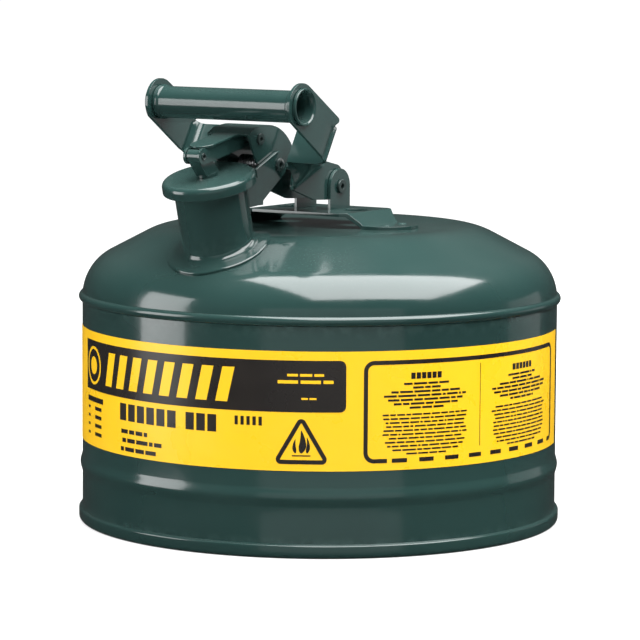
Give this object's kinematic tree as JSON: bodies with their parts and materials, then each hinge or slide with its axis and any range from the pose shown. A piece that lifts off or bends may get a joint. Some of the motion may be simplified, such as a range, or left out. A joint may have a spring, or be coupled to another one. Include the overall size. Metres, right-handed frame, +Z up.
{
  "type": "safety gas can",
  "caption": "Round steel safety can for flammable liquids with a spring-closed spout lid, a flame screen and a swinging yoke handle.",
  "frame": {"origin": "centre of the can's round footprint, on the surface that it stands on", "axes": "+Z up the can's axis, -Y towards the spout and the pouring side, +X along the grip"},
  "size_m": [0.2984, 0.2984, 0.275],
  "materials": {
    "green_paint": "gloss",
    "label_film": "satin",
    "screen_mesh": "woven wire",
    "bare_steel": "satin",
    "pin_steel": "gloss",
    "gasket_rubber": "matte"
  },
  "bodies": {
    "can": {"body_shell": "green_paint", "bottom_pan": "green_paint", "top_dome": "green_paint", "label_band": "label_film", "spout_tube": "green_paint", "spout_collar": "green_paint", "outer_screen": "screen_mesh", "inner_screen": "screen_mesh", "screen_ring": "bare_steel", "spout_bracket": "green_paint", "lever_pin": "pin_steel", "lid_spring": "bare_steel", "handle_base": "green_paint", "base_welds": "green_paint"},
    "lid": {"lid_lever": "green_paint", "lever_strip": "green_paint", "hood_rivet": "pin_steel", "cap_stud": "green_paint", "cap_pin": "pin_steel"},
    "cap": {"cap_disc": "green_paint", "cap_gasket": "gasket_rubber", "gasket_retainer": "bare_steel"},
    "handle": {"handle_pin": "pin_steel", "handle_yoke": "green_paint", "grip_tube": "green_paint"}
  },
  "joints": [
    {"name": "handle_swing", "type": "hinge", "parent": "can", "child": "handle", "pos_m": [0, 0.002, 0.207], "axis": [1, 0, 0], "range_deg": [-90, 0]},
    {"name": "lid_open", "type": "hinge", "parent": "can", "child": "lid", "pos_m": [0, -0.071, 0.2245], "axis": [-1, 0, 0], "range_deg": [0, 45], "stiffness_Nm_per_rad": 0.35, "springref_deg": -57.3, "deforming": ["lid_spring"]},
    {"name": "cap_swivel", "type": "hinge", "parent": "lid", "child": "cap", "pos_m": [0, -0.1185, 0.2145], "axis": [0, -0.2588, 0.9659], "continuous": true}
  ],
  "couplings": [
    {"joint": "lid_open", "follows": "handle_swing", "ratio": -0.5}
  ]
}
